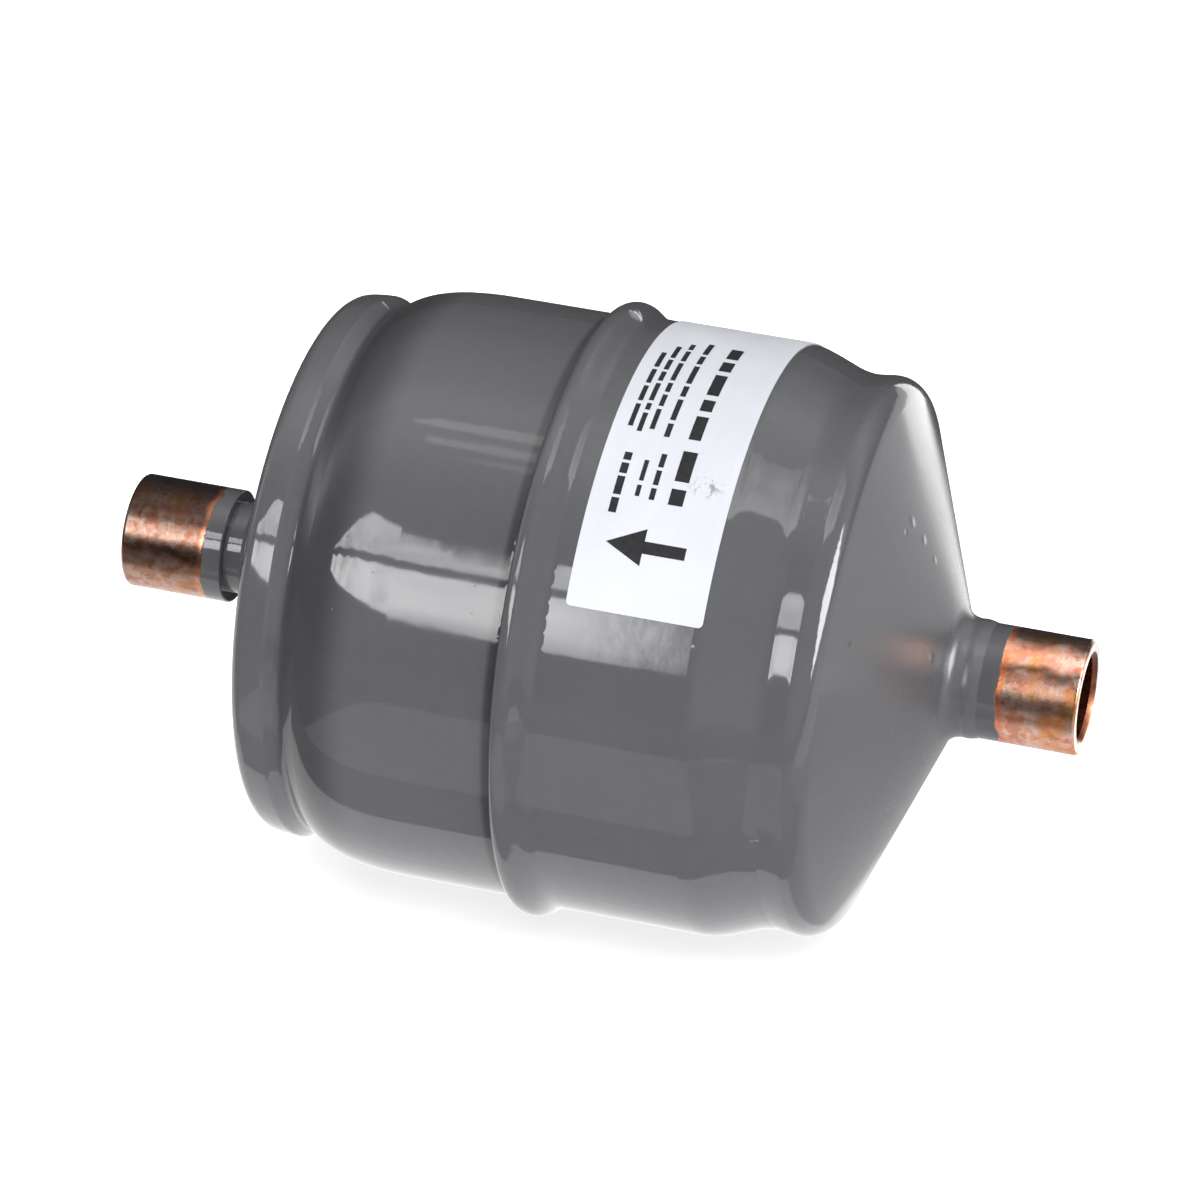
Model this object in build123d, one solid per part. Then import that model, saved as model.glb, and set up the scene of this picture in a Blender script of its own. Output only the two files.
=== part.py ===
from build123d import *
import math
import os

# ---------------------------------------------------------------------------
# Liquid-line filter drier with solder (sweat) sockets, all sizes in mm.
# Axis of the body along X, the inlet at +X and the outlet at -X, +Z up.
# The origin is on the axis, half-way between the two open socket ends.
# ---------------------------------------------------------------------------

os.makedirs("parts", exist_ok=True)

# overall
L_TOTAL = 109.6            # open end to open end
X_END = L_TOTAL / 2

# drawn steel cups
WALL = 1.4                 # sheet thickness
R_IN_BODY = 33.1           # outside radius of the inlet cup
R_OUT_BODY = 32.8          # outside radius of the outlet cup, a little smaller

# girth weld between the cups
X_WELD = -1.2              # edge of the inlet cup, over the root of the weld
R_WELD = 34.5              # crown radius
# the bead's outline: a steep toe on the outlet cup, a crown, a smooth run-out on the inlet cup
BEAD = [(-3.25, 32.8), (-2.74, 33.0), (-2.78, 33.5), (-2.62, 34.02), (-2.14, 34.4), (-1.5, 34.5),
        (-0.9, 34.37), (-0.36, 34.05), (0.2, 33.64), (0.75, 33.32), (1.3, 33.15), (2.0, 33.1)]
X_LIP = 3.2                # how far the outlet cup's joggled lip reaches inside
LIP_CLEAR = 0.05           # slip clearance of that lip

# inlet cup: groove, shoulder, cone, collar
X_IN_STRAIGHT = 17.8       # the plain cylinder ends here
X_IN_GROOVE = 26.0         # bottom of the smooth groove
R_IN_GROOVE = 30.95
X_IN_RIM = 28.5            # crest behind the groove
R_IN_RIM = 31.2
R_IN_SHOULDER = 3.05       # rounding from the crest to the cone
CONE_SLOPE = 67.8          # angle of the cone's line to the axis, degrees

# outlet cup: groove, rim, shallow end
X_OUT_STRAIGHT = -15.5
X_OUT_FALL, R_OUT_FALL = -25.85, 30.95   # a point on the long fall to the groove
FALL_SLOPE = 0.64          # its steepness there
X_OUT_GROOVE = -27.9
R_OUT_GROOVE = 29.85
X_OUT_RIM = -29.6          # crest behind the groove
R_OUT_RIM = 30.7
X_OUT_LAND, R_OUT_LAND = -31.95, 30.48   # the crest's gently falling land ends here
LAND_FALL = 12.0           # its slope there, degrees
R_OUT_SHOULDER = 1.75      # rounding from the land to the end face
END_SLOPE = 84.0           # the end face is nearly flat

# collars round the fittings
R_COLLAR = 6.6
R_COLLAR_HOLE = 5.25
NECK_FILLET = 2.1
X_IN_COLLAR = 42.9         # free end of the inlet cup's collar
X_OUT_COLLAR = -39.8       # free end of the outlet cup's collar

# copper fittings, both alike: a socket for 3/8 in tube and a reduced neck
R_SOCKET_OUT = 6.4         # outside of the socket part
R_SOCKET = 4.8             # 3/8 in ODF socket
SOCKET_DEPTH = 11.2        # 0.44 in to the tube stop
R_MOUTH = 5.15             # flared lead-in at the open end
MOUTH_DEPTH = 0.55
SOCKET_PART = 11.8         # length of the thick part
R_NECK = 5.2
R_NECK_BORE = 4.0
NECK_END_IN = 38.6         # inner ends of the necks, from the middle
NECK_END_OUT = 34.4

# label
LABEL_X0 = 3.7
LABEL_X1 = 18.7
LABEL_T = 0.12
LABEL_START = 37.3         # lower edge, degrees up from -Y towards +Z
LABEL_SPAN = 150.0
LABEL_CORNER = 0.55

# inside
PLATE_X0, PLATE_T, R_PLATE = -25.9, 1.2, 29.18
PAD_T, R_PAD = 3.0, 29.5
CORE_L, R_CORE = 40.0, 28.5
R_CAVITY, CAVITY_L = 8.0, 26.0
CAP_T, R_CAP = 1.0, 21.0
SPRING_WIRE = 0.8          # wire radius
SPRING_R0, SPRING_R1 = 10.0, 21.0
SPRING_TURNS = 3.5


# ---------------------------------------------------------------------------
# Profiles in the plane of the axis: x along the axis, y the radius.
# ---------------------------------------------------------------------------

def hermite(p0, t0, p1, t1, n=9, pull=1.0):
    """points of a smooth run from p0 to p1, leaving along t0, arriving along t1"""
    d = math.hypot(p1[0] - p0[0], p1[1] - p0[1]) * pull
    pts = []
    for i in range(n):
        u = i / (n - 1)
        h0 = 2 * u**3 - 3 * u**2 + 1
        h1 = u**3 - 2 * u**2 + u
        h2 = -2 * u**3 + 3 * u**2
        h3 = u**3 - u**2
        pts.append((h0 * p0[0] + h1 * d * t0[0] + h2 * p1[0] + h3 * d * t1[0],
                    h0 * p0[1] + h1 * d * t0[1] + h2 * p1[1] + h3 * d * t1[1]))
    return pts


def arc_points(c, r, a0, a1, n=9):
    """points of an arc about c from angle a0 to a1, in degrees"""
    return [(c[0] + r * math.cos(math.radians(a0 + (a1 - a0) * i / (n - 1))),
             c[1] + r * math.sin(math.radians(a0 + (a1 - a0) * i / (n - 1)))) for i in range(n)]


def shifted(pts, t):
    """the same run moved sideways by t, to the right of its direction"""
    out = []
    for i, p in enumerate(pts):
        if i == 0:
            q0, q1, q2 = pts[0], pts[1], pts[2] if len(pts) > 2 else None
            if q2:
                d = (-3 * q0[0] + 4 * q1[0] - q2[0], -3 * q0[1] + 4 * q1[1] - q2[1])
            else:
                d = (q1[0] - q0[0], q1[1] - q0[1])
        elif i == len(pts) - 1:
            q0, q1, q2 = pts[-1], pts[-2], pts[-3] if len(pts) > 2 else None
            if q2:
                d = (3 * q0[0] - 4 * q1[0] + q2[0], 3 * q0[1] - 4 * q1[1] + q2[1])
            else:
                d = (q0[0] - q1[0], q0[1] - q1[1])
        else:
            d = (pts[i + 1][0] - pts[i - 1][0], pts[i + 1][1] - pts[i - 1][1])
        m = math.hypot(*d)
        out.append((p[0] + t * d[1] / m, p[1] - t * d[0] / m))
    return out


def join(runs):
    """a closed face from runs of points; two points make a line, more a spline"""
    edges = []
    for i, run in enumerate(runs):
        nxt = runs[(i + 1) % len(runs)]
        run = list(run)
        run[-1] = nxt[0]
        if len(run) == 2:
            edges.append(Edge.make_line(run[0], run[1]))
        else:
            edges.append(Edge.make_spline([Vector(*p) for p in run]))
    return Face(Wire(edges))


def spin(face, angle=360.0):
    return Solid.revolve(face, angle, Axis.X)


def turned(runs, angle=360.0):
    return spin(join(runs), angle)


def ring(x0, x1, r_in, r_out):
    """a plain tube about the axis"""
    return turned([[(x0, r_in), (x1, r_in)], [(x1, r_in), (x1, r_out)],
                   [(x1, r_out), (x0, r_out)], [(x0, r_out), (x0, r_in)]])


def disc(x0, x1, r):
    return Pos(x0, 0, 0) * (Rot(0, 90, 0) * Cylinder(r, x1 - x0, align=(Align.CENTER, Align.CENTER, Align.MIN)))


def write(name, shape):
    solids = shape.solids()
    part = solids[0] if len(solids) == 1 else Compound(solids)
    part.label = name
    export_step(part, "parts/" + name + ".step")


# ---------------------------------------------------------------------------
# Inlet cup
# ---------------------------------------------------------------------------

sl = math.radians(CONE_SLOPE)
n_cone = (math.sin(sl), math.cos(sl))          # outward normal of the cone
d_cone = (math.cos(sl), -math.sin(sl))         # down the cone, towards the axis


groove_down = hermite((X_IN_STRAIGHT, R_IN_BODY), (1, 0), (X_IN_GROOVE, R_IN_GROOVE), (1, 0), 13)
groove_up = hermite((X_IN_GROOVE, R_IN_GROOVE), (1, 0), (X_IN_RIM, R_IN_RIM), (1, 0), 7)
# shoulder: from the crest round to the cone's direction, then a short flat run onto the cone
c_sh = (X_IN_RIM, R_IN_RIM - R_IN_SHOULDER)
shoulder = arc_points(c_sh, R_IN_SHOULDER, 90.0, 90.0 - CONE_SLOPE, 9)
p_sh = shoulder[-1]
# concave fillet from the cone to the collar
c_nf_r = R_COLLAR + NECK_FILLET
# the cone's line starts where the shoulder ends
line_x0 = p_sh[0]
line_r0 = p_sh[1]


def on_cone(r):
    return line_x0 + (line_r0 - r) / math.tan(sl)


# offset line (outside the cone by the fillet radius)
c_nf_x = on_cone(c_nf_r) + NECK_FILLET / math.sin(sl)
foot = (c_nf_x - NECK_FILLET * n_cone[0], c_nf_r - NECK_FILLET * n_cone[1])
cone = [p_sh, foot]
fillet_in = arc_points((c_nf_x, c_nf_r), NECK_FILLET, 180.0 + math.degrees(math.atan2(n_cone[1], n_cone[0])), 270.0, 7)
collar = [(c_nf_x, R_COLLAR), (X_IN_COLLAR, R_COLLAR)]

# inside faces, one wall thickness in
g1 = shifted(groove_down, WALL)
g2 = shifted(groove_up, WALL)
sh2 = arc_points(c_sh, R_IN_SHOULDER - WALL, 90.0, 90.0 - CONE_SLOPE, 7)
in_line_start = sh2[-1]
r_turn = R_COLLAR_HOLE + 1.2                   # the pierced edge turns out with a small radius inside
in_line_end = (in_line_start[0] + (in_line_start[1] - r_turn) / math.tan(sl), r_turn)

inlet_shell = turned([
    [(X_WELD, R_IN_BODY), (X_IN_STRAIGHT, R_IN_BODY)],
    groove_down, groove_up, shoulder, cone, fillet_in, collar,
    [(X_IN_COLLAR, R_COLLAR), (X_IN_COLLAR, R_COLLAR_HOLE)],
    [(X_IN_COLLAR, R_COLLAR_HOLE), (in_line_end[0] + 1.1, R_COLLAR_HOLE)],
    hermite((in_line_end[0] + 1.1, R_COLLAR_HOLE), (-1, 0), in_line_end, (-d_cone[0], -d_cone[1]), 7),
    [in_line_end, in_line_start],
    sh2[::-1], g2[::-1], g1[::-1],
    [(X_IN_STRAIGHT, R_IN_BODY - WALL), (X_WELD, R_IN_BODY - WALL)],
    [(X_WELD, R_IN_BODY - WALL), (X_WELD, R_IN_BODY)],
])

# ---------------------------------------------------------------------------
# Outlet cup, drawn with its own x running towards -X
# ---------------------------------------------------------------------------

es = math.radians(END_SLOPE)
n_end = (math.sin(es), math.cos(es))
R_LIP = R_IN_BODY - WALL - LIP_CLEAR           # outside of the joggled lip
X_JOG0, X_JOG1 = X_WELD - 1.3, X_WELD - 0.25      # the joggle, under the bead


def m(p):
    """mirror a point to the -X side"""
    return (-p[0], p[1])


gx, gr = -X_OUT_GROOVE, R_OUT_GROOVE
rx, rr = -X_OUT_RIM, R_OUT_RIM
sx = -X_OUT_STRAIGHT
# long convex fall, then a tight root, the rim's crest and its gently falling land
fall_mid = (-X_OUT_FALL, R_OUT_FALL)
fall_dir = (1 / math.hypot(1, FALL_SLOPE), -FALL_SLOPE / math.hypot(1, FALL_SLOPE))
fall_a = hermite((sx, R_OUT_BODY), (1, 0), fall_mid, fall_dir, 13, 0.9)
fall_b = hermite(fall_mid, fall_dir, (gx, gr), (1, 0), 7, 0.8)
rise = hermite((gx, gr), (1, 0), (rx, rr), (1, 0), 9, 0.85)
lf = math.radians(LAND_FALL)
lx, lr = -X_OUT_LAND, R_OUT_LAND
land = hermite((rx, rr), (1, 0), (lx, lr), (math.cos(lf), -math.sin(lf)), 7)
c_os = (lx - R_OUT_SHOULDER * math.sin(lf), lr - R_OUT_SHOULDER * math.cos(lf))
o_sh = arc_points(c_os, R_OUT_SHOULDER, 90.0 - LAND_FALL, 90.0 - END_SLOPE, 9)
p_os = o_sh[-1]


def on_end(r):
    return p_os[0] + (p_os[1] - r) / math.tan(es)


c_of_r = R_COLLAR + NECK_FILLET
c_of_x = on_end(c_of_r) + NECK_FILLET / math.sin(es)
o_foot = (c_of_x - NECK_FILLET * n_end[0], c_of_r - NECK_FILLET * n_end[1])
o_fil = arc_points((c_of_x, c_of_r), NECK_FILLET, 180.0 + math.degrees(math.atan2(n_end[1], n_end[0])), 270.0, 7)
xc = -X_OUT_COLLAR
o_sh2 = arc_points(c_os, R_OUT_SHOULDER - WALL, 90.0 - LAND_FALL, 90.0 - END_SLOPE, 7)
r_turn_o = R_COLLAR_HOLE + 1.2
o_line_end = (o_sh2[-1][0] + (o_sh2[-1][1] - r_turn_o) / math.tan(es), r_turn_o)
d_end = (math.cos(es), -math.sin(es))

# the joggled lip, outside and inside
jog_out = hermite((-X_JOG1, R_LIP), (1, 0), (-X_JOG0, R_OUT_BODY), (1, 0), 7, 1.0)
jog_in = hermite((-X_JOG1 - 0.35, R_LIP - WALL), (1, 0), (-X_JOG0 + 0.55, R_OUT_BODY - WALL), (1, 0), 7, 1.0)

outlet_runs = [
    [(-X_LIP, R_LIP), (-X_JOG1, R_LIP)],
    jog_out,
    [(-X_JOG0, R_OUT_BODY), (sx, R_OUT_BODY)],
    fall_a, fall_b, rise, land, o_sh, [p_os, o_foot], o_fil,
    [(c_of_x, R_COLLAR), (xc, R_COLLAR)],
    [(xc, R_COLLAR), (xc, R_COLLAR_HOLE)],
    [(xc, R_COLLAR_HOLE), (o_line_end[0] + 1.1, R_COLLAR_HOLE)],
    hermite((o_line_end[0] + 1.1, R_COLLAR_HOLE), (-1, 0), o_line_end, (-d_end[0], -d_end[1]), 7),
    [o_line_end, o_sh2[-1]],
    o_sh2[::-1], shifted(land, WALL)[::-1], shifted(rise, WALL)[::-1], shifted(fall_b, WALL)[::-1], shifted(fall_a, WALL)[::-1],
    [(sx, R_OUT_BODY - WALL), jog_in[-1]],
    jog_in[::-1],
    [jog_in[0], (-X_LIP, R_LIP - WALL)],
    [(-X_LIP, R_LIP - WALL), (-X_LIP, R_LIP)],
]
outlet_shell = turned([[m(p) for p in run] for run in outlet_runs])

# ---------------------------------------------------------------------------
# Girth weld: a rounded bead with its root in the gap over the lip
# ---------------------------------------------------------------------------

wl, wr = BEAD[0][0], BEAD[-1][0]
bead_top = BEAD[::-1]
girth_weld = turned([
    [(wl, R_OUT_BODY), (X_JOG0, R_OUT_BODY)],
    [m(p) for p in jog_out][::-1],
    [(X_JOG1, R_LIP), (X_WELD, R_LIP)],
    [(X_WELD, R_LIP), (X_WELD, R_IN_BODY)],
    [(X_WELD, R_IN_BODY), (wr, R_IN_BODY)],
    bead_top,
])

# ---------------------------------------------------------------------------
# Copper fittings: thick socket part, shoulder, thinner neck into the collar
# ---------------------------------------------------------------------------

def fitting(neck_end):
    xs = X_END - SOCKET_PART                     # shoulder
    stop = X_END - SOCKET_DEPTH                  # the tube stop inside
    e = 0.18                                     # rounding of the outer edges
    pts = [
        [(X_END - MOUTH_DEPTH, R_SOCKET), (X_END, R_MOUTH)],
        [(X_END, R_MOUTH), (X_END, R_SOCKET_OUT - 2 * e)],
        hermite((X_END, R_SOCKET_OUT - 2 * e), (0, 1), (X_END - 2 * e, R_SOCKET_OUT), (-1, 0), 5),
        [(X_END - 2 * e, R_SOCKET_OUT), (xs + e, R_SOCKET_OUT)],
        hermite((xs + e, R_SOCKET_OUT), (-1, 0), (xs, R_SOCKET_OUT - e), (0, -1), 5),
        [(xs, R_SOCKET_OUT - e), (xs, R_NECK)],
        [(xs, R_NECK), (neck_end, R_NECK)],
        [(neck_end, R_NECK), (neck_end, R_NECK_BORE)],
        [(neck_end, R_NECK_BORE), (stop - 0.5, R_NECK_BORE)],
        [(stop - 0.5, R_NECK_BORE), (stop, R_SOCKET)],
        [(stop, R_SOCKET), (X_END - MOUTH_DEPTH, R_SOCKET)],
    ]
    return pts


inlet_fitting = turned(fitting(NECK_END_IN))
outlet_fitting = turned([[m(p) for p in run] for run in fitting(NECK_END_OUT)])

# braze fillets: on the inlet the filler bridges collar and socket shoulder,
# on the outlet it runs from the collar's end down to the neck
xs = X_END - SOCKET_PART
inlet_braze_ring = turned([
    [(X_IN_COLLAR - 0.75, R_COLLAR), (X_IN_COLLAR, R_COLLAR)],
    [(X_IN_COLLAR, R_COLLAR), (X_IN_COLLAR, R_NECK)],
    [(X_IN_COLLAR, R_NECK), (xs, R_NECK)],
    [(xs, R_NECK), (xs, R_SOCKET_OUT - 0.18)],
    hermite((xs, R_SOCKET_OUT - 0.18), (0, 1), (xs + 0.18, R_SOCKET_OUT), (1, 0), 5),
    [(xs + 0.18, R_SOCKET_OUT), (xs + 0.9, R_SOCKET_OUT)],
    hermite((xs + 0.9, R_SOCKET_OUT), (-0.9, 0.25), (X_IN_COLLAR - 0.75, R_COLLAR), (-0.9, -0.2), 9),
])
outlet_braze_ring = turned([
    [(X_OUT_COLLAR, R_COLLAR - 0.1), (X_OUT_COLLAR, R_NECK)],
    [(X_OUT_COLLAR, R_NECK), (X_OUT_COLLAR - 1.3, R_NECK)],
    hermite((X_OUT_COLLAR - 1.3, R_NECK), (0.9, 0.3), (X_OUT_COLLAR, R_COLLAR - 0.1), (0.35, 0.95), 9, 1.0),
])

# ---------------------------------------------------------------------------
# Label: a thin strip that follows the cylinder and the start of the groove
# ---------------------------------------------------------------------------

dense = hermite((X_IN_STRAIGHT, R_IN_BODY), (1, 0), (X_IN_GROOVE, R_IN_GROOVE), (1, 0), 241)
tail = [p for p in dense if p[0] <= LABEL_X1][::4]
tail_up = shifted(tail, -LABEL_T)
label_face = join([
    [(LABEL_X0, R_IN_BODY), (X_IN_STRAIGHT, R_IN_BODY)],
    tail,
    [tail[-1], tail_up[-1]],
    tail_up[::-1],
    [(X_IN_STRAIGHT, R_IN_BODY + LABEL_T), (LABEL_X0, R_IN_BODY + LABEL_T)],
    [(LABEL_X0, R_IN_BODY + LABEL_T), (LABEL_X0, R_IN_BODY)],
])
# the profile lies in the XY plane at +Y; a turn about X brings its start edge to the label's foot
label = Rot(180 - LABEL_START - LABEL_SPAN, 0, 0) * spin(label_face, LABEL_SPAN)
corner_edges = [e for e in label.edges()
                if e.length < LABEL_T * 1.6 and abs(e.tangent_at(0.5).X) < 0.5]
label = label.fillet(LABEL_CORNER, corner_edges)

# ---------------------------------------------------------------------------
# Inside, from the outlet to the inlet
# ---------------------------------------------------------------------------

# perforated plate that bears on the inside of the outlet groove
plate = disc(PLATE_X0, PLATE_X0 + PLATE_T, R_PLATE)
holes = []
for k, (rad, n) in enumerate([(0.0, 1), (5.2, 6), (10.4, 12), (15.6, 18), (20.8, 24)]):
    for i in range(n):
        a = 2 * math.pi * (i + 0.5 * (k % 2)) / n
        holes.append(Pos(0, rad * math.cos(a), rad * math.sin(a)) * disc(PLATE_X0 - 1, PLATE_X0 + PLATE_T + 1, 1.5))
outlet_plate = plate - holes

x_pad = PLATE_X0 + PLATE_T
outlet_filter_pad = disc(x_pad, x_pad + PAD_T, R_PAD)

x_core = x_pad + PAD_T
ch = 1.2
desiccant_core = turned([
    [(x_core, R_CAVITY), (x_core, R_CORE - ch)],
    [(x_core, R_CORE - ch), (x_core + ch, R_CORE)],
    [(x_core + ch, R_CORE), (x_core + CORE_L - ch, R_CORE)],
    [(x_core + CORE_L - ch, R_CORE), (x_core + CORE_L, R_CORE - ch)],
    [(x_core + CORE_L, R_CORE - ch), (x_core + CORE_L, 0)],
    [(x_core + CORE_L, 0), (x_core + CAVITY_L, 0)],
    [(x_core + CAVITY_L, 0), (x_core + CAVITY_L, R_CAVITY * 0.8)],
    [(x_core + CAVITY_L, R_CAVITY * 0.8), (x_core, R_CAVITY)],
])

# pressed spring plate: a disc with a shallow centring dish and flow holes
x_cap = x_core + CORE_L
cap_body = turned([
    [(x_cap, 0), (x_cap, R_CAP)],
    [(x_cap, R_CAP), (x_cap + 2.4, R_CAP)],
    [(x_cap + 2.4, R_CAP), (x_cap + 2.4, R_CAP - CAP_T)],
    [(x_cap + 2.4, R_CAP - CAP_T), (x_cap + CAP_T, R_CAP - CAP_T)],
    [(x_cap + CAP_T, R_CAP - CAP_T), (x_cap + CAP_T, 8.6)],
    [(x_cap + CAP_T, 8.6), (x_cap + 2.2, 8.2)],
    [(x_cap + 2.2, 8.2), (x_cap + 2.2, 0)],
    [(x_cap + 2.2, 0), (x_cap, 0)],
])
cap_holes = [Pos(0, 15.2 * math.cos(math.radians(a)), 15.2 * math.sin(math.radians(a))) * disc(x_cap - 1, x_cap + 3, 2.6)
             for a in range(0, 360, 45)]
spring_plate = cap_body - cap_holes

# conical spring between the plate and the inside of the cone
x_s0 = x_cap + CAP_T + SPRING_WIRE
in_r = SPRING_R1
x_in_cone = in_line_start[0] + (in_line_start[1] - in_r) / math.tan(sl)
x_s1 = x_in_cone - SPRING_WIRE / math.sin(sl) - 0.02
h = x_s1 - x_s0
cone_half = math.degrees(math.atan2(SPRING_R1 - SPRING_R0, h))
path = Helix(pitch=h / SPRING_TURNS, height=h, radius=SPRING_R0, cone_angle=cone_half)
section = Plane(origin=path @ 0, z_dir=path % 0) * Circle(SPRING_WIRE)
coil = sweep(section, path=path, is_frenet=True)
inlet_spring = Pos(x_s0, 0, 0) * (Rot(0, 90, 0) * coil)

# ---------------------------------------------------------------------------

pieces = {
    "inlet_shell": inlet_shell,
    "outlet_shell": outlet_shell,
    "girth_weld": girth_weld,
    "inlet_fitting": inlet_fitting,
    "outlet_fitting": outlet_fitting,
    "inlet_braze_ring": inlet_braze_ring,
    "outlet_braze_ring": outlet_braze_ring,
    "label": label,
    "outlet_plate": outlet_plate,
    "outlet_filter_pad": outlet_filter_pad,
    "desiccant_core": desiccant_core,
    "spring_plate": spring_plate,
    "inlet_spring": inlet_spring,
}
for name, shape in pieces.items():
    write(name, shape)
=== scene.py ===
import bpy
import bmesh
import math
import random
from mathutils import Vector, Matrix, noise


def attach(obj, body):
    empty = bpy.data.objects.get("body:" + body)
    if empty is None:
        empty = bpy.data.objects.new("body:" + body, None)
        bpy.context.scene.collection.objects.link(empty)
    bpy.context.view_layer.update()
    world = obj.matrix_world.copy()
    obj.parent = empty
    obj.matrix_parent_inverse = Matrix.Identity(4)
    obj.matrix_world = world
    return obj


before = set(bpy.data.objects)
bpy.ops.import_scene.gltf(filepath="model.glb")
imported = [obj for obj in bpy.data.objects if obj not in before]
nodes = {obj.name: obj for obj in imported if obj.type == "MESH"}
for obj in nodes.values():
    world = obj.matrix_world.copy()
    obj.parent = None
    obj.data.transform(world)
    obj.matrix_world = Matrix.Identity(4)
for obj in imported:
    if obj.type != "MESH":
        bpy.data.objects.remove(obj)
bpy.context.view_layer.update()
scene = bpy.context.scene
MM = 0.001

# ---------------------------------------------------------------------------
# sizes repeated from the CAD, in mm
# ---------------------------------------------------------------------------
R_IN_BODY, R_OUT_BODY = 33.1, 32.8
X_WELD, WELD_HALF, R_WELD = -1.2, 2.8, 34.5
LABEL_R = R_IN_BODY + 0.12
FLOOR_Z = -R_WELD * MM

# ---------------------------------------------------------------------------
# camera: long lens, seen from above and from the front right
# ---------------------------------------------------------------------------
AZ, EL = math.radians(16.883), math.radians(35.938)
back = Vector((math.sin(AZ) * math.cos(EL), -math.cos(AZ) * math.cos(EL), math.sin(EL)))
right = Vector((math.cos(AZ), math.sin(AZ), 0))
up = back.cross(right)
cam_data = bpy.data.cameras.new("camera")
cam = bpy.data.objects.new("camera", cam_data)
scene.collection.objects.link(cam)
cam_data.sensor_width = 36.0
cam_data.lens = 175.9
cam_data.clip_start, cam_data.clip_end = 0.01, 50
cam.matrix_world = Matrix.Translation(Vector((-0.0005, 0, 0)) + back * 0.650 + up * 0.00122) @ \
    Matrix((right, up, back)).transposed().to_4x4()
scene.camera = cam
scene.view_settings.view_transform = "Standard"
scene.view_settings.look = "None"


# ---------------------------------------------------------------------------
# node helpers
# ---------------------------------------------------------------------------
class Tree:
    """a material's node tree with short calls; sockets are passed about as values"""

    def __init__(self, name):
        self.mat = bpy.data.materials.new(name)
        self.mat.use_nodes = True
        self.nt = self.mat.node_tree
        self.nt.nodes.clear()
        self.out = self.nt.nodes.new("ShaderNodeOutputMaterial")
        self._coord = None

    def put(self, socket, value):
        if isinstance(value, bpy.types.NodeSocket):
            self.nt.links.new(value, socket)
        elif value is not None:
            if hasattr(socket.default_value, "__len__"):
                v = list(value) if hasattr(value, "__len__") else [value] * 3
                if len(socket.default_value) == 4 and len(v) == 3:
                    v.append(1.0)
                socket.default_value = v
            else:
                socket.default_value = value

    def new(self, kind, **props):
        n = self.nt.nodes.new(kind)
        for k, v in props.items():
            setattr(n, k, v)
        return n

    @property
    def pos(self):
        """position on the object in mm (the object sits at the frame's origin)"""
        if self._coord is None:
            c = self.new("ShaderNodeTexCoord")
            m = self.new("ShaderNodeVectorMath", operation="SCALE")
            self.put(m.inputs[0], c.outputs["Object"])
            m.inputs["Scale"].default_value = 1000.0
            self._coord = m.outputs[0]
        return self._coord

    def xyz(self, v):
        n = self.new("ShaderNodeSeparateXYZ")
        self.put(n.inputs[0], v)
        return n.outputs[0], n.outputs[1], n.outputs[2]

    def vec(self, x=0.0, y=0.0, z=0.0):
        n = self.new("ShaderNodeCombineXYZ")
        for s, v in zip(n.inputs, (x, y, z)):
            self.put(s, v)
        return n.outputs[0]

    def math(self, op, a, b=None, c=None, clamp=False):
        n = self.new("ShaderNodeMath", operation=op, use_clamp=clamp)
        self.put(n.inputs[0], a)
        if b is not None:
            self.put(n.inputs[1], b)
        if c is not None:
            self.put(n.inputs[2], c)
        return n.outputs[0]

    def vmath(self, op, a, b=None, scale=None):
        n = self.new("ShaderNodeVectorMath", operation=op)
        self.put(n.inputs[0], a)
        if b is not None:
            self.put(n.inputs[1], b)
        if scale is not None:
            self.put(n.inputs["Scale"], scale)
        return n.outputs["Value"] if op in ("LENGTH", "DISTANCE", "DOT_PRODUCT") else n.outputs[0]

    def noise(self, v, scale, detail=2.0, rough=0.5, distort=0.0, colour=False):
        n = self.new("ShaderNodeTexNoise")
        self.put(n.inputs["Vector"], v)
        n.inputs["Scale"].default_value = scale
        n.inputs["Detail"].default_value = detail
        n.inputs["Roughness"].default_value = rough
        n.inputs["Distortion"].default_value = distort
        return n.outputs["Color" if colour else "Fac"]

    def voronoi(self, v, scale, feature="F1", out="Distance", rand=1.0):
        n = self.new("ShaderNodeTexVoronoi", feature=feature)
        self.put(n.inputs["Vector"], v)
        n.inputs["Scale"].default_value = scale
        n.inputs["Randomness"].default_value = rand
        return n.outputs[out]

    def ramp(self, fac, stops, mode="LINEAR"):
        """stops: (position, colour or grey)"""
        n = self.new("ShaderNodeValToRGB")
        n.color_ramp.interpolation = mode
        els = n.color_ramp.elements
        while len(els) < len(stops):
            els.new(0.5)
        for e, (p, c) in zip(els, stops):
            e.position = p
            c = list(c) if hasattr(c, "__len__") else [c] * 3
            e.color = c[:3] + [1.0]
        self.put(n.inputs[0], fac)
        return n.outputs[0]

    def step(self, v, lo, hi):
        """0 below lo, 1 above hi, smooth in between"""
        n = self.new("ShaderNodeMapRange", interpolation_type="SMOOTHSTEP")
        self.put(n.inputs["Value"], v)
        n.inputs["From Min"].default_value = lo
        n.inputs["From Max"].default_value = hi
        return n.outputs[0]

    def remap(self, v, a, b, c, d):
        n = self.new("ShaderNodeMapRange")
        self.put(n.inputs["Value"], v)
        for s, x in zip(("From Min", "From Max", "To Min", "To Max"), (a, b, c, d)):
            n.inputs[s].default_value = x
        return n.outputs[0]

    def mix(self, fac, a, b, blend="MIX"):
        n = self.new("ShaderNodeMix", data_type="RGBA", blend_type=blend)
        self.put(n.inputs[0], fac)
        self.put(n.inputs[6], a)
        self.put(n.inputs[7], b)
        return n.outputs[2]

    def fmix(self, fac, a, b):
        n = self.new("ShaderNodeMix", data_type="FLOAT")
        self.put(n.inputs[0], fac)
        self.put(n.inputs[2], a)
        self.put(n.inputs[3], b)
        return n.outputs[0]

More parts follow.
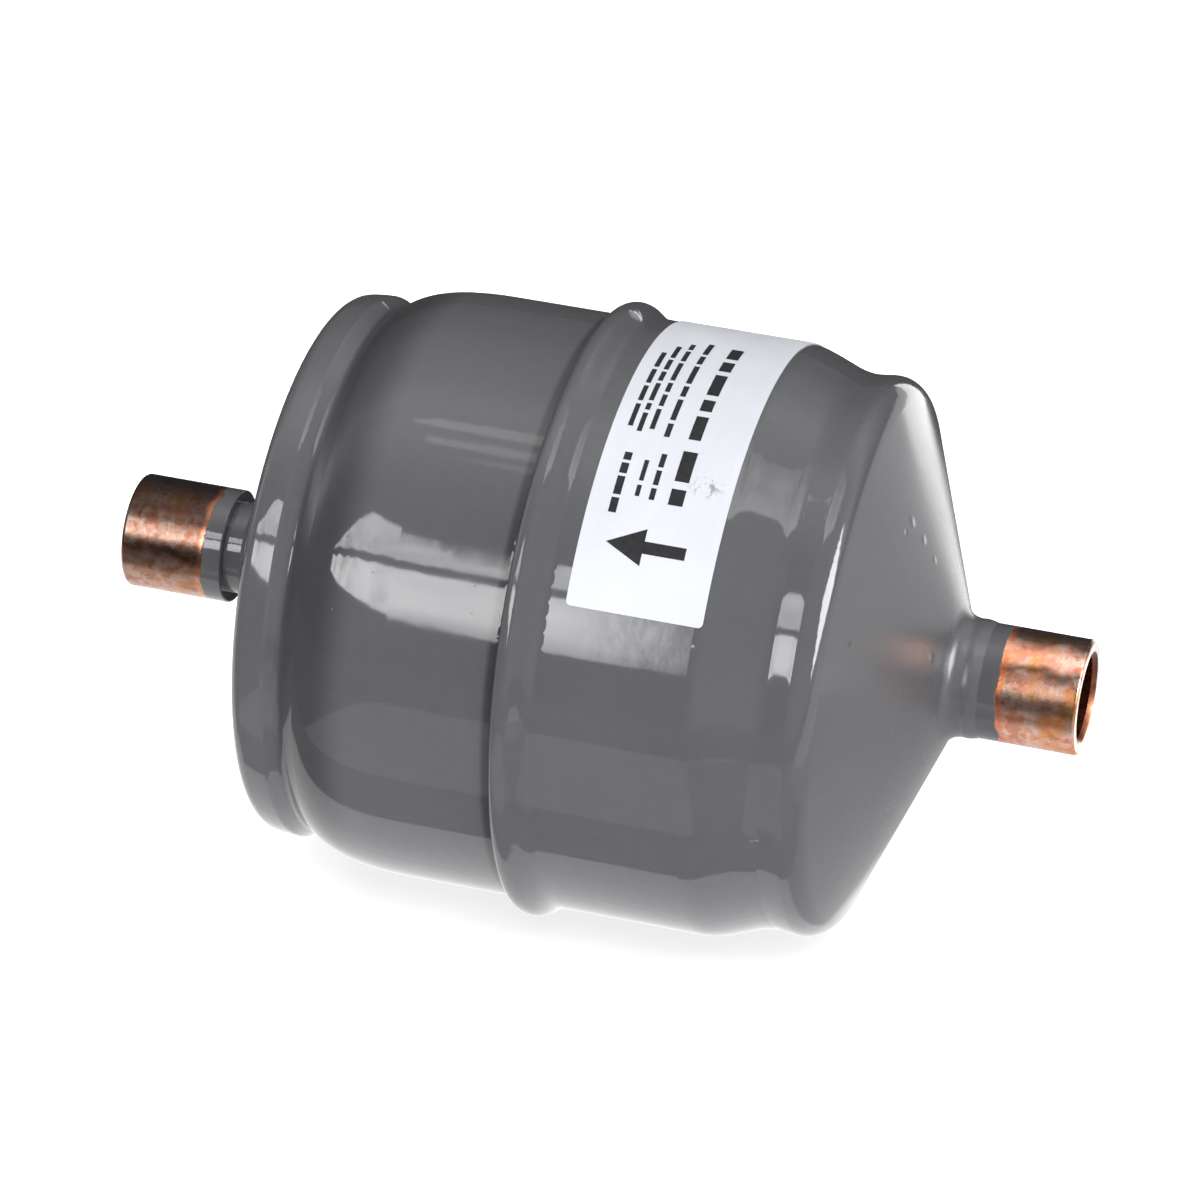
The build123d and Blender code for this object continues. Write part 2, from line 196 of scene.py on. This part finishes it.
    def bump(self, height, distance, strength=1.0, normal=None):
        """height 0..1 times distance in mm"""
        n = self.new("ShaderNodeBump")
        self.put(n.inputs["Height"], height)
        n.inputs["Distance"].default_value = distance * MM
        n.inputs["Strength"].default_value = strength
        if normal is not None:
            self.put(n.inputs["Normal"], normal)
        return n.outputs[0]

    def shader(self, **inputs):
        n = self.new("ShaderNodeBsdfPrincipled")
        for k, v in inputs.items():
            self.put(n.inputs[k.replace("_", " ")], v)
        self.nt.links.new(n.outputs[0], self.out.inputs["Surface"])
        return self.mat


def flaws(t, spots):
    """smooth little hills (+) and dents (-) at points given in mm: (x, y, z, radius, height)"""
    total = None
    for x, y, z, r, h in spots:
        d = t.vmath("DISTANCE", t.pos, (x, y, z))
        f = t.step(d, r, 0.0)
        f = t.math("MULTIPLY", f, h)
        total = f if total is None else t.math("ADD", total, f)
    return total


def on_body(px, py, radius):
    """the point in mm on the near side of a cylinder of that radius seen at a place in the 1200 px frame"""
    d = (-back + right * ((px - 600) / 5863.3) + up * ((600 - py) / 5863.3)).normalized()
    o = cam.matrix_world.translation * 1000
    a = d.y * d.y + d.z * d.z
    b = 2 * (o.y * d.y + o.z * d.z)
    c = o.y * o.y + o.z * o.z - radius * radius
    disc = b * b - 4 * a * c
    k = (-b - math.sqrt(max(disc, 0.0))) / (2 * a)
    return o + d * k


# ---------------------------------------------------------------------------
# grey enamel: one glossy dielectric with a faint orange peel and dust nibs, and painted shade in the groove and beside
# the bead
# ---------------------------------------------------------------------------
PAINT = (0.089, 0.090, 0.097)


def enamel(name, spots=(), waviness=1.0, dust=1.0):
    t = Tree(name)
    p = t.pos
    cloud = t.noise(p, 0.045, 3, 0.55)
    fine = t.noise(p, 0.9, 2, 0.5)
    speck = t.voronoi(p, 0.55)
    colour = t.mix(t.remap(cloud, 0.3, 0.7, 0, 1), [c * 0.94 for c in PAINT], [c * 1.06 for c in PAINT])
    colour = t.mix(t.remap(fine, 0.3, 0.7, 0, 0.35), colour, [c * 1.12 for c in PAINT])
    nib = t.step(speck, 0.06, 0.02)                         # tiny dust nibs, one every couple of mm
    rare = t.step(t.noise(p, 0.31, 0), 0.60, 0.66)          # only in some places
    nib = t.math("MULTIPLY", nib, rare)
    colour = t.mix(t.math("MULTIPLY", nib, 0.5), colour, (0.20, 0.20, 0.21))
    # painted shade: the paint colour is darkened in the rolled groove and in the crease beside the bead, where shade
    # falls
    x = t.xyz(p)[0]
    groove_shade = t.math("MULTIPLY", t.step(x, -28.6, -27.2), t.step(x, -18.8, -23.6))
    crease_shade = t.math("MULTIPLY", t.step(x, -4.3, -3.5), t.step(x, -2.35, -2.85))
    painted_shade = t.math("MAXIMUM", t.math("MULTIPLY", groove_shade, 0.62), t.math("MULTIPLY", crease_shade, 0.7))
    colour = t.mix(painted_shade, colour, [c * 0.22 for c in PAINT])
    peel = t.noise(p, 0.42, 2, 0.45)                        # orange peel, about 2 mm
    long = t.noise(p, 0.075, 1, 0.4)                        # drawn sheet isn't quite true
    micro = t.noise(p, 2.6, 2, 0.5)
    n = t.bump(long, 0.030 * waviness)
    n = t.bump(peel, 0.0060 * waviness, normal=n)
    n = t.bump(micro, 0.0004, normal=n)
    n = t.bump(nib, 0.02 * dust, normal=n)
    if spots:
        n = t.bump(flaws(t, spots), 1.0, normal=n)
    rough = t.remap(t.noise(p, 0.16, 3, 0.6), 0.3, 0.7, 0.045, 0.085)
    rough = t.math("ADD", rough, t.math("MULTIPLY", t.step(x, 29.0, 36.5), 0.20))   # the cone is duller
    return t.shader(Base_Color=colour, Roughness=rough, Normal=n, IOR=1.5)


def pt(px, py, r, size, height):
    q = on_body(px, py, r)
    return (q.x, q.y, q.z, size, height)


mat_in_shell = enamel("enamel_inlet", [
    (25.7, -30.8, -2.7, 1, 0.16), (26.2, -30.8, -3.2, 0.4, -0.08), pt(713, 647, R_IN_BODY, 0.35, 0.04),
    pt(695, 647, R_IN_BODY, 0.4, 0.05), pt(593, 786, R_IN_BODY, 0.55, 0.06), pt(646, 800, R_IN_BODY, 0.3, 0.03),
    # runs and blisters on the cone
    (34.9, -1.5, 20.3, 0.9, 0.1), (36.1, -0.6, 17.6, 0.8, 0.09), (34.8, -3.6, 20.4, 0.6, -0.06), (37.3, 0, 14.8, 0.6, 0.06), (32.7, -19.6, 16.6, 0.7, 0.07), (39, -7.4, 7.3, 0.7, 0.06), (36.8, -15.6, 2.9, 0.4, 0.05)])
mat_out_shell = enamel("enamel_outlet", [
    pt(470, 700, R_OUT_BODY, 0.3, 0.03), pt(410, 790, R_OUT_BODY, 0.35, 0.03)])
mat_weld = enamel("enamel_weld", waviness=1.3)


# ---------------------------------------------------------------------------
# copper fittings: bare heat-tinted copper with painted light and shade round the tube, and enamel from the band inwards
# ---------------------------------------------------------------------------
def copper(name, sign, band, light_round_stops, streak, neck=5.0):
    """sign: which end; band: where the enamel ends, |x| in mm; light_round_stops: painted light and shade by the angle
    round the tube; neck: paint from here
    """
    t = Tree(name)
    p = t.pos
    x, y, z = t.xyz(p)
    ax = t.math("MULTIPLY", x, sign)
    radius = t.math("SQRT", t.math("ADD", t.math("MULTIPLY", y, y), t.math("MULTIPLY", z, z)))
    # ragged edge of the overspray
    edge = t.math("ADD", ax, t.remap(t.noise(p, 0.28, 3, 0.6), 0.25, 0.75, -0.45, 0.45))
    edge = t.math("ADD", edge, t.math("MULTIPLY", z, 0.045))
    painted = t.math("MULTIPLY", t.step(edge, band + 0.12, band - 0.12), t.step(radius, neck, neck + 0.3))
    # heat tints: brown oxide, with gold, orange and rose where it's thinner
    big = t.noise(t.vmath("MULTIPLY", p, (1.0, 0.55, 0.55)), 0.22, 2, 0.5, 0.4)
    small = t.noise(p, 1.0, 3, 0.55, 0.3)
    tint = t.math("ADD", t.math("MULTIPLY", big, 0.62), t.math("MULTIPLY", small, 0.38))
    bare = t.ramp(tint, [
        (0.34, (0.86, 0.24, 0.10)), (0.43, (0.92, 0.46, 0.20)), (0.50, (0.94, 0.50, 0.36)),
        (0.56, (0.96, 0.68, 0.56)), (0.62, (0.84, 0.34, 0.20)), (0.70, (0.62, 0.38, 0.34))])
    # painted light and shade round the tube: darker on the upper side and in a band below the front, brighter where the
    # lamps would be reflected
    around = t.math("ARCTAN2", z, t.math("MULTIPLY", y, -1.0))
    around = t.math("ADD", around, t.remap(t.noise(p, 0.30, 2, 0.5), 0.3, 0.7, -0.10, 0.10))
    u = t.remap(around, -math.pi, math.pi, 0.0, 1.0)
    painted_light_round = t.ramp(u, [((d + 180) / 360, v) for d, v in light_round_stops])
    bare = t.mix(1.0, bare, painted_light_round, "MULTIPLY")
    dirt = t.step(t.noise(p, 0.55, 4, 0.65), 0.56, 0.74)
    bare = t.mix(t.math("MULTIPLY", dirt, 0.45), bare, (0.12, 0.06, 0.04))
    # brown line where the paint stopped
    flush = t.step(t.noise(t.vmath("MULTIPLY", p, (0.8, 1.0, 1.0)), 0.42, 2, 0.5, 0.8), 0.50, 0.60)
    bare = t.mix(t.math("MULTIPLY", flush, 0.40), bare, t.mix(1.0, painted_light_round, streak, "MULTIPLY"))
    line = t.math("MULTIPLY", t.step(edge, band - 0.3, band + 0.1), t.step(edge, band + 0.9, band + 0.2))
    bare = t.mix(t.math("MULTIPLY", line, 0.45), bare, streak)
    inside = t.step(radius, 5.2, 4.9)
    bare = t.mix(inside, bare, (0.20, 0.07, 0.04))
    colour = t.mix(painted, bare, [c * 0.90 for c in PAINT])
    metal = t.math("SUBTRACT", 1.0, painted)
    r_bare = t.remap(t.noise(p, 0.8, 4, 0.6), 0.3, 0.7, 0.20, 0.36)
    rough = t.fmix(painted, r_bare, 0.07)
    lines = t.noise(t.vmath("MULTIPLY", p, (3.0, 0.15, 0.15)), 1.2, 2, 0.5)   # faint turning marks
    n = t.bump(lines, 0.004)
    n = t.bump(t.noise(p, 0.9, 3, 0.55), 0.012, normal=n)
    n = t.bump(painted, 0.03, normal=n)
    return t.shader(Base_Color=colour, Metallic=metal, Roughness=rough, Normal=n, IOR=1.5)


mat_in_fit = copper("copper_inlet", 1.0, 46.1, [
    (-150, 0.15), (-50, 1.0), (-5, 1.0), (12, 0.42), (25, 0.38), (33, 0.52), (47, 0.55), (53, 0.25), (60, 0.78),
    (78, 0.80), (92, 0.18), (150, 0.10)], (0.85, 0.20, 0.08), 4.6)
mat_out_fit = copper("copper_outlet", -1.0, 45.2, [
    (-150, 0.12), (-60, 0.55), (-20, 0.40), (8, 0.32), (15, 0.16), (27, 0.14), (36, 0.19), (54, 0.20), (63, 0.075),
    (100, 0.05), (150, 0.05)], (0.60, 0.24, 0.14), 4.6)


def simple_metal(name, colour, rough, variation=0.15, grain=(1.0, 1.0, 1.0), scale=0.6, bump=0.01):
    t = Tree(name)
    p = t.pos
    a = t.noise(p, scale * 0.3, 3, 0.6)
    b = t.noise(t.vmath("MULTIPLY", p, grain), scale, 4, 0.6)
    c = t.mix(t.remap(a, 0.3, 0.7, 0, 1), [v * (1 - variation) for v in colour], [min(1, v * (1 + variation)) for v in colour])
    r = t.remap(b, 0.3, 0.7, rough * 0.8, min(1.0, rough * 1.3))
    return t.shader(Base_Color=c, Metallic=1.0, Roughness=r, Normal=t.bump(b, bump))


mat_braze = enamel("enamel_braze", waviness=1.6)
mat_plate = simple_metal("zinc_plate", (0.62, 0.63, 0.62), 0.35, 0.08)
mat_spring = simple_metal("spring_wire", (0.36, 0.36, 0.37), 0.3, 0.1, (0.2, 1, 1))


def desiccant():
    t = Tree("desiccant_beads")
    p = t.pos
    v = t.voronoi(p, 0.8)
    cell = t.voronoi(p, 0.8, out="Color")
    shade = t.remap(t.xyz(cell)[0], 0, 1, 0, 1)
    c = t.mix(shade, (0.55, 0.47, 0.36), (0.72, 0.64, 0.50))
    # painted shade: darker in the gaps between the beads
    c = t.mix(t.step(v, 0.45, 0.75), c, (0.25, 0.20, 0.15))
    n = t.bump(t.step(v, 0.8, 0.1), 0.25)
    r = t.remap(t.noise(p, 2.0, 2), 0.3, 0.7, 0.75, 0.95)
    return t.shader(Base_Color=c, Roughness=r, Normal=n)


def fibre():
    t = Tree("filter_fibre")
    p = t.pos
    a = t.noise(t.vmath("MULTIPLY", p, (1.0, 6.0, 0.7)), 0.9, 4, 0.6, 1.2)
    b = t.noise(t.vmath("MULTIPLY", p, (1.0, 0.7, 6.0)), 0.9, 4, 0.6, 1.2)
    f = t.math("MAXIMUM", a, b)
    c = t.mix(t.remap(f, 0.4, 0.7, 0, 1), (0.62, 0.60, 0.52), (0.86, 0.84, 0.76))
    return t.shader(Base_Color=c, Roughness=t.remap(f, 0.3, 0.8, 0.95, 0.8), Normal=t.bump(f, 0.15))


# ---------------------------------------------------------------------------
# label film
# ---------------------------------------------------------------------------
def film():
    t = Tree("label_film")
    p = t.pos
    cloud = t.noise(p, 0.10, 3, 0.6)
    c = t.mix(t.remap(cloud, 0.3, 0.7, 0, 1), (0.625, 0.643, 0.690), (0.672, 0.688, 0.732))
    q = on_body(707, 487, LABEL_R)                          # a scuff
    d = t.vmath("DISTANCE", t.vmath("MULTIPLY", p, (0.75, 1.0, 1.0)), (q.x * 0.75, q.y, q.z))
    scuff = t.math("MULTIPLY", t.step(d, 1.8, 0.2), t.step(t.noise(p, 0.9, 3, 0.6, 0.8), 0.49, 0.58))
    c = t.mix(t.math("MULTIPLY", scuff, 0.75), c, (0.13, 0.13, 0.14))
    q2 = on_body(799, 340, LABEL_R)
    speck = t.step(t.vmath("DISTANCE", p, q2), 0.6, 0.2)
    c = t.mix(t.math("MULTIPLY", speck, 0.6), c, (0.10, 0.10, 0.11))
    # creases run round the body near the upper end of the strip
    y, z = t.xyz(p)[1:]
    up_end = t.step(z, 22.0, 30.0)
    ridge = t.noise(t.vmath("MULTIPLY", p, (1.0, 0.25, 0.25)), 0.55, 2, 0.5)
    n = t.bump(t.math("MULTIPLY", ridge, up_end), 0.16)
    n = t.bump(t.noise(p, 0.25, 2, 0.5), 0.02, normal=n)
    n = t.bump(t.noise(p, 3.0, 2, 0.5), 0.0012, normal=n)
    r = t.remap(t.noise(p, 0.5, 3), 0.3, 0.7, 0.36, 0.50)
    return t.shader(Base_Color=c, Roughness=r, Normal=n, IOR=1.36)


def ink():
    t = Tree("label_ink")
    p = t.pos
    c = t.mix(t.remap(t.noise(p, 1.5, 3, 0.6), 0.3, 0.7, 0, 1), (0.008, 0.008, 0.010), (0.018, 0.018, 0.021))
    r = t.remap(t.noise(p, 0.7, 3), 0.3, 0.7, 0.38, 0.52)
    return t.shader(Base_Color=c, Roughness=r, Normal=t.bump(t.noise(p, 3.0, 2, 0.5), 0.0012), IOR=1.33)


mat_film = film()
mat_ink = ink()

for node, mat in {
    "inlet_shell": mat_in_shell, "outlet_shell": mat_out_shell, "girth_weld": mat_weld,
    "inlet_fitting": mat_in_fit, "outlet_fitting": mat_out_fit,
    "inlet_braze_ring": mat_braze, "outlet_braze_ring": mat_braze,
    "label": mat_film, "outlet_plate": mat_plate, "spring_plate": mat_plate,
    "inlet_spring": mat_spring, "desiccant_core": desiccant(), "outlet_filter_pad": fibre(),
}.items():
    o = nodes[node]
    for s in o.material_slots:
        s.material = mat


# ---------------------------------------------------------------------------
# label print: a flow arrow and plain bars, laid on the film as thin ink
# ---------------------------------------------------------------------------
INK_LO, INK_HI = LABEL_R + 0.004, LABEL_R + 0.016


def on_film(px, py):
    """(x, angle round the body) of a place in the frame"""
    q = on_body(px, py, LABEL_R)
    return q.x, math.atan2(q.z, -q.y)


def film_quad(bm, corners, nu=6, nv=3):
    """corners: four (x in mm, angle) on the film"""
    grids = []
    for radius in (INK_LO, INK_HI):
        g = []
        for i in range(nu + 1):
            for j in range(nv + 1):
                a, b = i / nu, j / nv
                w = ((1 - a) * (1 - b), a * (1 - b), a * b, (1 - a) * b)
                x = sum(k * c[0] for k, c in zip(w, corners))
                f = sum(k * c[1] for k, c in zip(w, corners))
                g.append(bm.verts.new(Vector((x, -radius * math.cos(f), radius * math.sin(f))) * MM))
        grids.append(g)
    lo, hi = grids
    at = lambda g, i, j: g[i * (nv + 1) + j]
    for i in range(nu):
        for j in range(nv):
            bm.faces.new((at(hi, i, j), at(hi, i + 1, j), at(hi, i + 1, j + 1), at(hi, i, j + 1)))
            bm.faces.new((at(lo, i, j + 1), at(lo, i + 1, j + 1), at(lo, i + 1, j), at(lo, i, j)))
    rim = [(i, 0) for i in range(nu)] + [(nu, j) for j in range(nv)] + [(i, nv) for i in range(nu, 0, -1)] + \
        [(0, j) for j in range(nv, 0, -1)]
    for k, (i, j) in enumerate(rim):
        i2, j2 = rim[(k + 1) % len(rim)]
        bm.faces.new((at(lo, i, j), at(lo, i2, j2), at(hi, i2, j2), at(hi, i, j)))


def bar(bm, a, b, width, dashes):
    """a row of plain dashes round the film between two places; width in mm; dashes: (start, end), 0..1"""
    (xa, fa), (xb, fb) = on_film(*a), on_film(*b)
    x = (xa + xb) / 2
    for s0, s1 in dashes:
        f0, f1 = fa + (fb - fa) * s0, fa + (fb - fa) * s1
        film_quad(bm, [(x - width / 2, f0), (x - width / 2, f1), (x + width / 2, f1), (x + width / 2, f0)][::-1],
                  nu=3, nv=max(2, int(abs(f1 - f0) / 0.03)))


def ink_piece(name, build):
    bm = bmesh.new()
    build(bm)
    bmesh.ops.recalc_face_normals(bm, faces=bm.faces)
    me = bpy.data.meshes.new(name)
    bm.to_mesh(me)
    bm.free()
    me.materials.append(mat_ink)
    o = bpy.data.objects.new(name, me)
    scene.collection.objects.link(o)
    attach(o, "root")
    return o


def arrow(bm):
    x, f = on_film(606, 541)
    w, h = 2.05 / LABEL_R, 0.68 / LABEL_R
    film_quad(bm, [(x, f), (x + 4.1, f - w), (x + 4.1, f + w), (x, f + 0.0004)], 6, 6)
    film_quad(bm, [(x + 4.06, f - h), (x + 8.7, f - h), (x + 8.7, f + h), (x + 4.06, f + h)], 6, 4)


def bars(bm):
    rng = random.Random(7)

    def split(n, gap):
        """n dashes of uneven length with a gap between them"""
        ws = [rng.uniform(0.5, 1.6) for _ in range(n)]
        k = (1 - gap * (n - 1)) / sum(ws)
        out, at = [], 0.0
        for w in ws:
            out.append((at, at + w * k))
            at += w * k + gap
        return out

    bar(bm, (734, 350), (699, 441), 1.35, split(5, 0.05))
    bar(bm, (706, 344), (673, 438), 0.62, split(6, 0.03))
    bar(bm, (688, 344), (658, 430), 0.55, split(6, 0.03))
    bar(bm, (674, 346), (645, 432), 0.55, split(6, 0.03))
    bar(bm, (661, 352), (634, 426), 0.55, split(4, 0.04))
    bar(bm, (690, 452), (676, 506), 1.6, split(2, 0.14))
    bar(bm, (664, 454), (652, 500), 0.6, split(3, 0.07))
    bar(bm, (647, 460), (637, 496), 0.5, split(2, 0.12))
    bar(bm, (629, 452), (612, 512), 0.85, split(4, 0.05))


ink_piece("label_arrow", arrow)
ink_piece("label_bars", bars)


# ---------------------------------------------------------------------------
# studio: floor, light panels seen in the paint, soft all-round light
# ---------------------------------------------------------------------------
N0 = Vector((0, -math.cos(math.radians(37.15)), math.sin(math.radians(37.15))))
W0 = Vector((0, math.sin(math.radians(37.15)), math.cos(math.radians(37.15))))
D = 1.2


def emission(name, strength):
    t = Tree(name)
    e = t.new("ShaderNodeEmission")
    t.put(e.inputs[1], strength)
    t.nt.links.new(e.outputs[0], t.out.inputs[0])
    return t.mat


def emission_round(name, stops, stops_right=None, sides=None, mottle=0.0):
    """light whose strength goes by the angle round the body's axis: (degrees, strength)"""
    t = Tree(name)
    g = t.new("ShaderNodeNewGeometry")
    p = t.vmath("NORMALIZE", g.outputs["Position"])
    ang = t.math("ARCTAN2", t.vmath("DOT_PRODUCT", p, tuple(W0)), t.vmath("DOT_PRODUCT", p, tuple(N0)))
    u = t.remap(ang, -math.pi, math.pi, 0.0, 1.0)
    most = max(v for _, v in stops + (stops_right or []))
    v = t.ramp(u, [((d + 180) / 360, x / most) for d, x in stops])
    x = t.xyz(p)[0]
    if stops_right:
        v2 = t.ramp(u, [((d + 180) / 360, y / most) for d, y in stops_right])
        v = t.mix(t.step(x, -0.12, 0.15), v, v2)
    if sides:
        f = t.ramp(t.remap(x, -1, 1, 0, 1), [((d + 1) / 2, y) for d, y in sides])
        v = t.mix(1.0, v, f, "MULTIPLY")
    if mottle:
        cloud = t.noise(t.vmath("MULTIPLY", g.outputs["Position"], (3.0, 1.0, 1.0)), 3.0, 4, 0.6, 0.6)
        v = t.mix(1.0, v, t.ramp(cloud, [(0.32, 1 - mottle * 1.6), (0.5, 1.0), (0.68, 1 + mottle)]), "MULTIPLY")
    e = t.new("ShaderNodeEmission")
    e.inputs[1].default_value = most
    t.put(e.inputs[0], v)
    t.nt.links.new(e.outputs[0], t.out.inputs[0])
    return t.mat


def stage_mesh(name, verts, faces, mat, camera=False, diffuse=False, glossy=True, shadow=False):
    me = bpy.data.meshes.new(name)
    me.from_pydata([tuple(v) for v in verts], [], faces)
    me.materials.append(mat)
    o = bpy.data.objects.new(name, me)
    scene.collection.objects.link(o)
    o.visible_camera, o.visible_diffuse, o.visible_glossy, o.visible_shadow = camera, diffuse, glossy, shadow
    o.visible_transmission = o.visible_volume_scatter = False
    return o


def round_axis(x, g, dist=D):
    g = math.radians(g)
    return Vector((x, 0, 0)) + dist * (math.cos(g) * N0 + math.sin(g) * W0)


def panel(name, mat, rows, dist=D):
    """a light panel round the body's axis; rows: (x in m, low angle, high angle)"""
    verts, faces = [], []
    steps = 6
    for x, lo, hi in rows:
        for k in range(steps + 1):
            verts.append(round_axis(x, lo + (hi - lo) * k / steps, dist))
    for i in range(len(rows) - 1):
        for k in range(steps):
            a = i * (steps + 1) + k
            faces.append((a, a + 1, a + steps + 2, a + steps + 1))
    return stage_mesh(name, verts, faces, mat)


def card(name, x0, x1, y0, y1, strength, lift=0.0):
    """a flat card on the floor that only reflections see"""
    z = FLOOR_Z + 0.0003 + lift
    return stage_mesh(name, [(x0, y0, z), (x1, y0, z), (x1, y1, z), (x0, y1, z)], [(0, 1, 2, 3)],
                      emission(name, strength))


panel("panel_main_low", emission_round("light_main_low", [(-20, 3.8), (-16, 6.4), (-11, 9.0), (-5, 10.2), (5, 10.0)],
                                       sides=[(-1, 1), (-0.236, 1), (-0.2205, 0.98), (-0.209, 0.52), (-0.199, 0.08), (-0.193, 0.0), (1, 0.0)], mottle=0.22),
      [(-1.06, -3, 4.3), (-0.96, -5, 3.4), (-0.9, -6.2, 4.6), (-0.8, -8, 3.2), (-0.73, -9, 4.4), (-0.688, -9.6, 3.6),
       (-0.60, -10.8, 4.0), (-0.52, -12, 3.0), (-0.45, -13, 3.6), (-0.40, -14.3, 2.6), (-0.35, -15.5, 2.9),
       (-0.323, -17.6, 2.0), (-0.30, -18.5, 2.2), (-0.275, -18.5, 2.0), (-0.250, -18.0, 2.2), (-0.236, -16.5, 1.0)])
panel("panel_main_high", emission_round("light_main_high", [(0, 7.0), (30, 7.6)],
                                        sides=[(-1, 1), (-0.228, 1), (-0.215, 0.7), (-0.205, 0.3), (1, 0.2)], mottle=0.22),
      [(-1.06, 7.0, 8.0), (-0.92, 7.8, 11), (-0.80, 6.9, 15), (-0.70, 7.9, 18.4), (-0.61, 6.8, 21), (-0.542, 7.2, 22.6),
       (-0.47, 6.2, 21), (-0.42, 6.8, 19.6), (-0.365, 5.8, 17.7), (-0.332, 5.6, 15.1),
       (-0.322, 5.4, 11.2), (-0.312, 5.3, 8.6), (-0.305, 5.3, 9.5), (-0.296, 5.3, 14), (-0.272, 5.3, 14.5), (-0.262, 5.3, 12)])
for i, (g0, g1, v, x0) in enumerate(((60, 64.5, 3.0, -0.42), (52.5, 56.5, 2.8, -0.37), (47.5, 50, 2.2, -0.325))):
    panel(f"panel_strip_{i}", emission(f"light_strip_{i}", v), [(x0, (g0 + g1) / 2 - 0.4, (g0 + g1) / 2 + 0.4),
          (-0.315, g0, g1), (-0.300, g0 + 0.4, g1 - 0.4)])
panel("panel_window", emission_round("light_window", [(48, 3.6), (58, 3.0), (68, 2.2), (78, 1.7)], mottle=0.35),
      [(-0.02, 47, 75), (0.10, 42, 77), (0.22, 43, 72), (0.30, 46, 74), (0.62, 52, 70)])

# bright wall to the right
stage_mesh("wall_right", [(2.0, -0.85, 0.25), (2.0, 0.35, 0.30), (2.0, 0.55, 1.35), (2.0, -0.60, 1.25)],
           [(0, 1, 2, 3)], emission("light_wall_right", 17.0))

# dim room, for reflections only
bm = bmesh.new()
bmesh.ops.create_uvsphere(bm, u_segments=48, v_segments=24, radius=6.0)
me = bpy.data.meshes.new("room")
bm.to_mesh(me)
bm.free()
room = bpy.data.objects.new("room", me)
scene.collection.objects.link(room)
me.materials.append(emission_round(
    "light_room",
    [(-175, 0.05), (-37, 0.06), (-18, 0.08), (15, 0.20), (36, 0.60), (57, 1.45), (72, 1.5), (86, 0.9), (98, 0.65), (122, 0.22), (145, 0.08)],
    [(-175, 0.30), (-40, 0.45), (-20, 0.50), (0, 0.48), (30, 0.60), (70, 1.1), (95, 1.45), (112, 0.7), (130, 0.25), (150, 0.15)],
    [(-1.0, 1.3), (-0.86, 0.6), (-0.7, 0.6), (-0.4, 1.0), (1.0, 1.0)]))
room.visible_camera = room.visible_diffuse = room.visible_transmission = room.visible_shadow = False

# floor as the paint sees it
card("floor_front_far", -3, 3, -4, -0.20, 0.16)
card("floor_front_left", -3, -0.07, -0.20, -0.062, 0.20)
card("floor_front", -0.07, 0.03, -0.20, -0.062, 0.72)
card("floor_front_right", 0.03, 3, -0.20, -0.062, 0.38)
card("floor_front_near", -3, 3, -0.062, -0.040, 0.32)
card("floor_under", -3, 0.034, -0.040, 0.030, 1.30)
card("floor_under_cone", 0.034, 0.085, -0.040, 0.030, 0.75)
card("floor_behind_left", -3, 0.045, 0.030, 4, 0.06)
card("floor_behind_cone", 0.045, 0.10, 0.030, 4, 2.7)
card("floor_behind_right", 0.10, 3, 0.030, 4, 1.05)
card("floor_right_near", 0.085, 0.13, -0.20, 0.030, 0.70, 0.0001)
card("floor_right", 0.13, 3, -0.20, 0.030, 1.25, 0.0001)


# floor
def floor_material():
    t = Tree("floor_paper")
    n = t.bump(t.noise(t.pos, 0.8, 3, 0.6), 0.01)
    c = t.mix(t.noise(t.pos, 0.01, 2), (0.86, 0.86, 0.87), (0.88, 0.88, 0.885))
    return t.shader(Base_Color=c, Roughness=0.85, Normal=n, IOR=1.3, Emission_Color=(1.0, 1.0, 1.0), Emission_Strength=0.66)


floor = stage_mesh("floor", [(-7, -7, FLOOR_Z), (7, -7, FLOOR_Z), (7, 7, FLOOR_Z), (-7, 7, FLOOR_Z)],
                   [(0, 1, 2, 3)], floor_material(), camera=True, diffuse=True, glossy=False, shadow=True)

# soft all-round light
world = bpy.data.worlds.new("world")
scene.world = world
world.use_nodes = True
world.node_tree.nodes["Background"].inputs[0].default_value = (1, 1, 1, 1)
world.node_tree.nodes["Background"].inputs[1].default_value = 0.52
world.cycles_visibility.glossy = False


def area(name, loc, target, size, power):
    d = bpy.data.lights.new(name, "AREA")
    d.shape = "SQUARE"
    d.size = size
    d.energy = power
    o = bpy.data.objects.new(name, d)
    scene.collection.objects.link(o)
    o.location = loc
    o.rotation_euler = (Vector(target) - Vector(loc)).to_track_quat("-Z", "Y").to_euler()
    o.visible_camera = False
    o.visible_glossy = False
    return o


area("key", (0.45, -1.0, 1.9), (0, 0, 0), 1.3, 40)

scene.cycles.use_denoising = True
